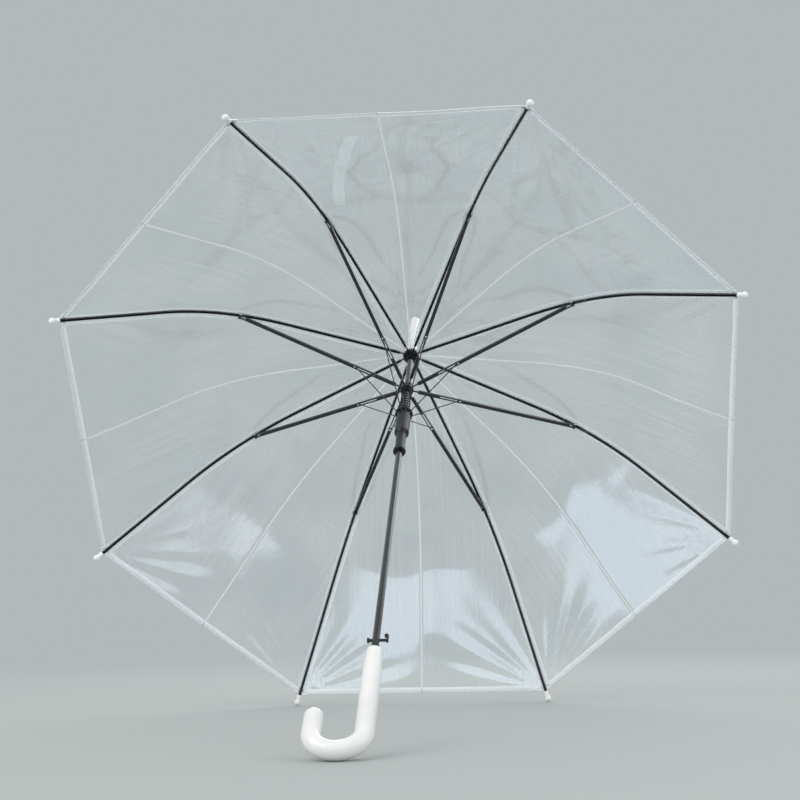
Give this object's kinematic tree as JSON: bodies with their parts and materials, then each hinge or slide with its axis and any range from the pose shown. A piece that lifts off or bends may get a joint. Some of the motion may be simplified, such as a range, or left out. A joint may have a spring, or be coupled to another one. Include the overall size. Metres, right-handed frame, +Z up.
{
  "type": "umbrella",
  "caption": "Open clear stick umbrella with a shallow dome, folding ribs and stretchers, spring runner, release catch and a white crook handle.",
  "frame": {"origin": "centre of the bounding box's bottom face: the ground that two rib caps and the crook lie on", "axes": "+Z up, +X to the right of someone looking into the canopy along +Y; the shaft lies in the YZ plane and runs down from the crown at the back to the handle at the front"},
  "size_m": [0.89, 0.8278, 0.7345],
  "materials": {
    "clear_film": "clear gloss",
    "frosted_film": "frosted",
    "white_cap": "gloss",
    "white_plastic": "gloss",
    "black_rib_steel": "satin",
    "black_arm_steel": "satin",
    "black_wire": "satin",
    "black_tube": "gloss",
    "dark_steel": "satin",
    "black_plastic": "satin"
  },
  "bodies": {
    "frame": {"shaft": "black_tube", "crown": "black_plastic", "crown_washer": "white_plastic", "ferrule": "white_plastic", "handle": "white_plastic", "catch_spring": "dark_steel"},
    "catch": {"release_catch": "dark_steel"},
    "runner": {"runner": "black_plastic", "opening_spring": "dark_steel"},
    "lower_slider": {"lower_slider": "black_plastic"},
    "rib_1": {"rib_1": "black_rib_steel", "rib_cap_1": "white_cap"},
    "stretcher_1": {"stretcher_1": "black_arm_steel"},
    "push_wire_1": {"push_wire_1": "black_wire"},
    "film_1_after": {"film_1_after": "clear_film"},
    "film_1_before": {"film_1_before": "clear_film"},
    "rib_2": {"rib_2": "black_rib_steel", "rib_cap_2": "white_cap"},
    "stretcher_2": {"stretcher_2": "black_arm_steel"},
    "push_wire_2": {"push_wire_2": "black_wire"},
    "film_2_after": {"film_2_after": "clear_film"},
    "film_2_before": {"film_2_before": "clear_film"},
    "rib_3": {"rib_3": "black_rib_steel", "rib_cap_3": "white_cap"},
    "stretcher_3": {"stretcher_3": "black_arm_steel"},
    "push_wire_3": {"push_wire_3": "black_wire"},
    "film_3_after": {"film_3_after": "clear_film"},
    "film_3_before": {"film_3_before": "clear_film", "tie_strap": "frosted_film"},
    "rib_4": {"rib_4": "black_rib_steel", "rib_cap_4": "white_cap"},
    "stretcher_4": {"stretcher_4": "black_arm_steel"},
    "push_wire_4": {"push_wire_4": "black_wire"},
    "film_4_after": {"film_4_after": "clear_film"},
    "film_4_before": {"film_4_before": "clear_film"},
    "rib_5": {"rib_5": "black_rib_steel", "rib_cap_5": "white_cap"},
    "stretcher_5": {"stretcher_5": "black_arm_steel"},
    "push_wire_5": {"push_wire_5": "black_wire"},
    "film_5_after": {"film_5_after": "clear_film"},
    "film_5_before": {"film_5_before": "clear_film"},
    "rib_6": {"rib_6": "black_rib_steel", "rib_cap_6": "white_cap"},
    "stretcher_6": {"stretcher_6": "black_arm_steel"},
    "push_wire_6": {"push_wire_6": "black_wire"},
    "film_6_after": {"film_6_after": "clear_film"},
    "film_6_before": {"film_6_before": "clear_film"},
    "rib_7": {"rib_7": "black_rib_steel", "rib_cap_7": "white_cap"},
    "stretcher_7": {"stretcher_7": "black_arm_steel"},
    "push_wire_7": {"push_wire_7": "black_wire"},
    "film_7_after": {"film_7_after": "clear_film"},
    "film_7_before": {"film_7_before": "clear_film"},
    "rib_8": {"rib_8": "black_rib_steel", "rib_cap_8": "white_cap"},
    "stretcher_8": {"stretcher_8": "black_arm_steel"},
    "push_wire_8": {"push_wire_8": "black_wire"},
    "film_8_after": {"film_8_after": "clear_film"},
    "film_8_before": {"film_8_before": "clear_film"}
  },
  "joints": [
    {"name": "catch_press", "type": "slide", "parent": "frame", "child": "catch", "axis": [1, 0, 0], "range_m": [0, 0.0025], "stiffness_N_per_m": 400, "springref_m": -0.003},
    {"name": "canopy_fold", "type": "hinge", "parent": "frame", "child": "rib_1", "pos_m": [0.00739, 0.30885, 0.50462], "axis": [0.3827, 0.524, -0.7609], "range_deg": [0, 62.13], "stiffness_Nm_per_rad": 1, "springref_deg": -114.59},
    {"name": "stretcher_1_joint", "type": "hinge", "parent": "rib_1", "child": "stretcher_1", "pos_m": [0.23309, 0.21208, 0.55149], "axis": [0.3827, 0.524, -0.7609], "range_deg": [-124.26, 0]},
    {"name": "push_wire_1_joint", "type": "hinge", "parent": "stretcher_1", "child": "push_wire_1", "pos_m": [0.07059, 0.21877, 0.47437], "axis": [0.3827, 0.524, -0.7609], "range_deg": [0, 34.25]},
    {"name": "film_1_after_fold", "type": "hinge", "parent": "rib_1", "child": "film_1_after", "pos_m": [0.00743, 0.30887, 0.50462], "axis": [0.0862, -0.3225, 0.9427], "range_deg": [0, 29.08], "deforming": ["film_1_after"]},
    {"name": "film_1_before_fold", "type": "hinge", "parent": "rib_1", "child": "film_1_before", "pos_m": [0.00741, 0.30884, 0.50466], "axis": [-0.7393, -0.5718, 0.3558], "range_deg": [0, 29.08], "deforming": ["film_1_before"]},
    {"name": "rib_2_fold", "type": "hinge", "parent": "frame", "child": "rib_2", "pos_m": [0.00306, 0.30639, 0.50819], "axis": [0.9239, 0.2171, -0.3152], "range_deg": [0, 62.13]},
    {"name": "stretcher_2_joint", "type": "hinge", "parent": "rib_2", "child": "stretcher_2", "pos_m": [0.09655, 0.13464, 0.66394], "axis": [0.9239, 0.2171, -0.3152], "range_deg": [-124.26, 0]},
    {"name": "push_wire_2_joint", "type": "hinge", "parent": "stretcher_2", "child": "push_wire_2", "pos_m": [0.02924, 0.19532, 0.50842], "axis": [0.9239, 0.2171, -0.3152], "range_deg": [0, 34.25]},
    {"name": "film_2_after_fold", "type": "hinge", "parent": "rib_2", "child": "film_2_after", "pos_m": [0.00309, 0.3064, 0.50821], "axis": [-0.6173, -0.1977, 0.7615], "range_deg": [0, 29.08], "deforming": ["film_2_after"]},
    {"name": "film_2_before_fold", "type": "hinge", "parent": "rib_2", "child": "film_2_before", "pos_m": [0.00305, 0.30639, 0.50823], "axis": [-0.9592, -0.1727, -0.2237], "range_deg": [0, 29.08], "deforming": ["film_2_before"]},
    {"name": "rib_3_fold", "type": "hinge", "parent": "frame", "child": "rib_3", "pos_m": [-0.00306, 0.30639, 0.50819], "axis": [0.9239, -0.2171, 0.3152], "range_deg": [0, 62.13]},
    {"name": "stretcher_3_joint", "type": "hinge", "parent": "rib_3", "child": "stretcher_3", "pos_m": [-0.09655, 0.13464, 0.66394], "axis": [0.9239, -0.2171, 0.3152], "range_deg": [-124.26, 0]},
    {"name": "push_wire_3_joint", "type": "hinge", "parent": "stretcher_3", "child": "push_wire_3", "pos_m": [-0.02924, 0.19532, 0.50842], "axis": [0.9239, -0.2171, 0.3152], "range_deg": [0, 34.25]},
    {"name": "film_3_after_fold", "type": "hinge", "parent": "rib_3", "child": "film_3_after", "pos_m": [-0.00305, 0.30639, 0.50823], "axis": [-0.9592, 0.1727, 0.2237], "range_deg": [0, 29.08], "deforming": ["film_3_after"]},
    {"name": "film_3_before_fold", "type": "hinge", "parent": "rib_3", "child": "film_3_before", "pos_m": [-0.00309, 0.3064, 0.50821], "axis": [-0.6173, 0.1977, -0.7615], "range_deg": [0, 29.08], "deforming": ["film_3_before", "tie_strap"]},
    {"name": "rib_4_fold", "type": "hinge", "parent": "frame", "child": "rib_4", "pos_m": [-0.00739, 0.30885, 0.50462], "axis": [0.3827, -0.524, 0.7609], "range_deg": [0, 62.13]},
    {"name": "stretcher_4_joint", "type": "hinge", "parent": "rib_4", "child": "stretcher_4", "pos_m": [-0.23309, 0.21208, 0.55149], "axis": [0.3827, -0.524, 0.7609], "range_deg": [-124.26, 0]},
    {"name": "push_wire_4_joint", "type": "hinge", "parent": "stretcher_4", "child": "push_wire_4", "pos_m": [-0.07059, 0.21877, 0.47437], "axis": [0.3827, -0.524, 0.7609], "range_deg": [0, 34.25]},
    {"name": "film_4_after_fold", "type": "hinge", "parent": "rib_4", "child": "film_4_after", "pos_m": [-0.00741, 0.30884, 0.50466], "axis": [-0.7393, 0.5718, -0.3558], "range_deg": [0, 29.08], "deforming": ["film_4_after"]},
    {"name": "film_4_before_fold", "type": "hinge", "parent": "rib_4", "child": "film_4_before", "pos_m": [-0.00743, 0.30887, 0.50462], "axis": [0.0862, 0.3225, -0.9427], "range_deg": [0, 29.08], "deforming": ["film_4_before"]},
    {"name": "rib_5_fold", "type": "hinge", "parent": "frame", "child": "rib_5", "pos_m": [-0.00739, 0.31232, 0.49958], "axis": [-0.3827, -0.524, 0.7609], "range_deg": [0, 62.13]},
    {"name": "stretcher_5_joint", "type": "hinge", "parent": "rib_5", "child": "stretcher_5", "pos_m": [-0.23309, 0.32161, 0.39246], "axis": [-0.3827, -0.524, 0.7609], "range_deg": [-124.26, 0]},
    {"name": "push_wire_5_joint", "type": "hinge", "parent": "stretcher_5", "child": "push_wire_5", "pos_m": [-0.07059, 0.25194, 0.42621], "axis": [-0.3827, -0.524, 0.7609], "range_deg": [0, 34.25]},
    {"name": "film_5_after_fold", "type": "hinge", "parent": "rib_5", "child": "film_5_after", "pos_m": [-0.00743, 0.31233, 0.49959], "axis": [-0.0862, 0.7657, -0.6374], "range_deg": [0, 29.08], "deforming": ["film_5_after"]},
    {"name": "film_5_before_fold", "type": "hinge", "parent": "rib_5", "child": "film_5_before", "pos_m": [-0.00741, 0.31235, 0.49956], "axis": [0.7393, 0.1285, -0.661], "range_deg": [0, 29.08], "deforming": ["film_5_before"]},
    {"name": "rib_6_fold", "type": "hinge", "parent": "frame", "child": "rib_6", "pos_m": [-0.00306, 0.31478, 0.49601], "axis": [-0.9239, -0.2171, 0.3152], "range_deg": [0, 62.13]},
    {"name": "stretcher_6_joint", "type": "hinge", "parent": "rib_6", "child": "stretcher_6", "pos_m": [-0.09655, 0.39906, 0.28001], "axis": [-0.9239, -0.2171, 0.3152], "range_deg": [-124.26, 0]},
    {"name": "push_wire_6_joint", "type": "hinge", "parent": "stretcher_6", "child": "push_wire_6", "pos_m": [-0.02924, 0.27539, 0.39215], "axis": [-0.9239, -0.2171, 0.3152], "range_deg": [0, 34.25]},
    {"name": "film_6_after_fold", "type": "hinge", "parent": "rib_6", "child": "film_6_after", "pos_m": [-0.00309, 0.3148, 0.49601], "axis": [0.6173, 0.641, -0.4562], "range_deg": [0, 29.08], "deforming": ["film_6_after"]},
    {"name": "film_6_before_fold", "type": "hinge", "parent": "rib_6", "child": "film_6_before", "pos_m": [-0.00305, 0.31481, 0.49599], "axis": [0.9592, -0.2706, -0.0816], "range_deg": [0, 29.08], "deforming": ["film_6_before"]},
    {"name": "rib_7_fold", "type": "hinge", "parent": "frame", "child": "rib_7", "pos_m": [0.00306, 0.31478, 0.49601], "axis": [-0.9239, 0.2171, -0.3152], "range_deg": [0, 62.13]},
    {"name": "stretcher_7_joint", "type": "hinge", "parent": "rib_7", "child": "stretcher_7", "pos_m": [0.09655, 0.39906, 0.28001], "axis": [-0.9239, 0.2171, -0.3152], "range_deg": [-124.26, 0]},
    {"name": "push_wire_7_joint", "type": "hinge", "parent": "stretcher_7", "child": "push_wire_7", "pos_m": [0.02924, 0.27539, 0.39215], "axis": [-0.9239, 0.2171, -0.3152], "range_deg": [0, 34.25]},
    {"name": "film_7_after_fold", "type": "hinge", "parent": "rib_7", "child": "film_7_after", "pos_m": [0.00305, 0.31481, 0.49599], "axis": [0.9592, 0.2706, 0.0816], "range_deg": [0, 29.08], "deforming": ["film_7_after"]},
    {"name": "film_7_before_fold", "type": "hinge", "parent": "rib_7", "child": "film_7_before", "pos_m": [0.00309, 0.3148, 0.49601], "axis": [0.6173, -0.641, 0.4562], "range_deg": [0, 29.08], "deforming": ["film_7_before"]},
    {"name": "rib_8_fold", "type": "hinge", "parent": "frame", "child": "rib_8", "pos_m": [0.00739, 0.31232, 0.49958], "axis": [-0.3827, 0.524, -0.7609], "range_deg": [0, 62.13]},
    {"name": "stretcher_8_joint", "type": "hinge", "parent": "rib_8", "child": "stretcher_8", "pos_m": [0.23309, 0.32161, 0.39246], "axis": [-0.3827, 0.524, -0.7609], "range_deg": [-124.26, 0]},
    {"name": "push_wire_8_joint", "type": "hinge", "parent": "stretcher_8", "child": "push_wire_8", "pos_m": [0.07059, 0.25194, 0.42621], "axis": [-0.3827, 0.524, -0.7609], "range_deg": [0, 34.25]},
    {"name": "film_8_after_fold", "type": "hinge", "parent": "rib_8", "child": "film_8_after", "pos_m": [0.00741, 0.31235, 0.49956], "axis": [0.7393, -0.1285, 0.661], "range_deg": [0, 29.08], "deforming": ["film_8_after"]},
    {"name": "film_8_before_fold", "type": "hinge", "parent": "rib_8", "child": "film_8_before", "pos_m": [0.00743, 0.31233, 0.49959], "axis": [-0.0862, -0.7657, 0.6374], "range_deg": [0, 29.08], "deforming": ["film_8_before"]},
    {"name": "runner_joint", "type": "hinge", "parent": "stretcher_1", "child": "runner", "pos_m": [0.00739, 0.22137, 0.44437], "axis": [0.3827, 0.524, -0.7609], "range_deg": [0, 62.13], "deforming": ["opening_spring"]},
    {"name": "slider_slide", "type": "slide", "parent": "runner", "child": "lower_slider", "axis": [0, -0.8236, -0.5672], "range_m": [-0.03169, 0]}
  ],
  "couplings": [
    {"joint": "stretcher_1_joint", "follows": "canopy_fold", "ratio": -2},
    {"joint": "push_wire_1_joint", "follows": "canopy_fold", "ratio": 0.55104},
    {"joint": "film_1_after_fold", "follows": "canopy_fold", "ratio": 0.46795},
    {"joint": "film_1_before_fold", "follows": "canopy_fold", "ratio": 0.46795},
    {"joint": "rib_2_fold", "follows": "canopy_fold", "ratio": 1},
    {"joint": "stretcher_2_joint", "follows": "canopy_fold", "ratio": -2},
    {"joint": "push_wire_2_joint", "follows": "canopy_fold", "ratio": 0.55104},
    {"joint": "film_2_after_fold", "follows": "canopy_fold", "ratio": 0.46795},
    {"joint": "film_2_before_fold", "follows": "canopy_fold", "ratio": 0.46795},
    {"joint": "rib_3_fold", "follows": "canopy_fold", "ratio": 1},
    {"joint": "stretcher_3_joint", "follows": "canopy_fold", "ratio": -2},
    {"joint": "push_wire_3_joint", "follows": "canopy_fold", "ratio": 0.55104},
    {"joint": "film_3_after_fold", "follows": "canopy_fold", "ratio": 0.46795},
    {"joint": "film_3_before_fold", "follows": "canopy_fold", "ratio": 0.46795},
    {"joint": "rib_4_fold", "follows": "canopy_fold", "ratio": 1},
    {"joint": "stretcher_4_joint", "follows": "canopy_fold", "ratio": -2},
    {"joint": "push_wire_4_joint", "follows": "canopy_fold", "ratio": 0.55104},
    {"joint": "film_4_after_fold", "follows": "canopy_fold", "ratio": 0.46795},
    {"joint": "film_4_before_fold", "follows": "canopy_fold", "ratio": 0.46795},
    {"joint": "rib_5_fold", "follows": "canopy_fold", "ratio": 1},
    {"joint": "stretcher_5_joint", "follows": "canopy_fold", "ratio": -2},
    {"joint": "push_wire_5_joint", "follows": "canopy_fold", "ratio": 0.55104},
    {"joint": "film_5_after_fold", "follows": "canopy_fold", "ratio": 0.46795},
    {"joint": "film_5_before_fold", "follows": "canopy_fold", "ratio": 0.46795},
    {"joint": "rib_6_fold", "follows": "canopy_fold", "ratio": 1},
    {"joint": "stretcher_6_joint", "follows": "canopy_fold", "ratio": -2},
    {"joint": "push_wire_6_joint", "follows": "canopy_fold", "ratio": 0.55104},
    {"joint": "film_6_after_fold", "follows": "canopy_fold", "ratio": 0.46795},
    {"joint": "film_6_before_fold", "follows": "canopy_fold", "ratio": 0.46795},
    {"joint": "rib_7_fold", "follows": "canopy_fold", "ratio": 1},
    {"joint": "stretcher_7_joint", "follows": "canopy_fold", "ratio": -2},
    {"joint": "push_wire_7_joint", "follows": "canopy_fold", "ratio": 0.55104},
    {"joint": "film_7_after_fold", "follows": "canopy_fold", "ratio": 0.46795},
    {"joint": "film_7_before_fold", "follows": "canopy_fold", "ratio": 0.46795},
    {"joint": "rib_8_fold", "follows": "canopy_fold", "ratio": 1},
    {"joint": "stretcher_8_joint", "follows": "canopy_fold", "ratio": -2},
    {"joint": "push_wire_8_joint", "follows": "canopy_fold", "ratio": 0.55104},
    {"joint": "film_8_after_fold", "follows": "canopy_fold", "ratio": 0.46795},
    {"joint": "film_8_before_fold", "follows": "canopy_fold", "ratio": 0.46795},
    {"joint": "runner_joint", "follows": "canopy_fold", "ratio": 1},
    {"joint": "slider_slide", "follows": "canopy_fold", "m_per_rad": -0.029216}
  ]
}
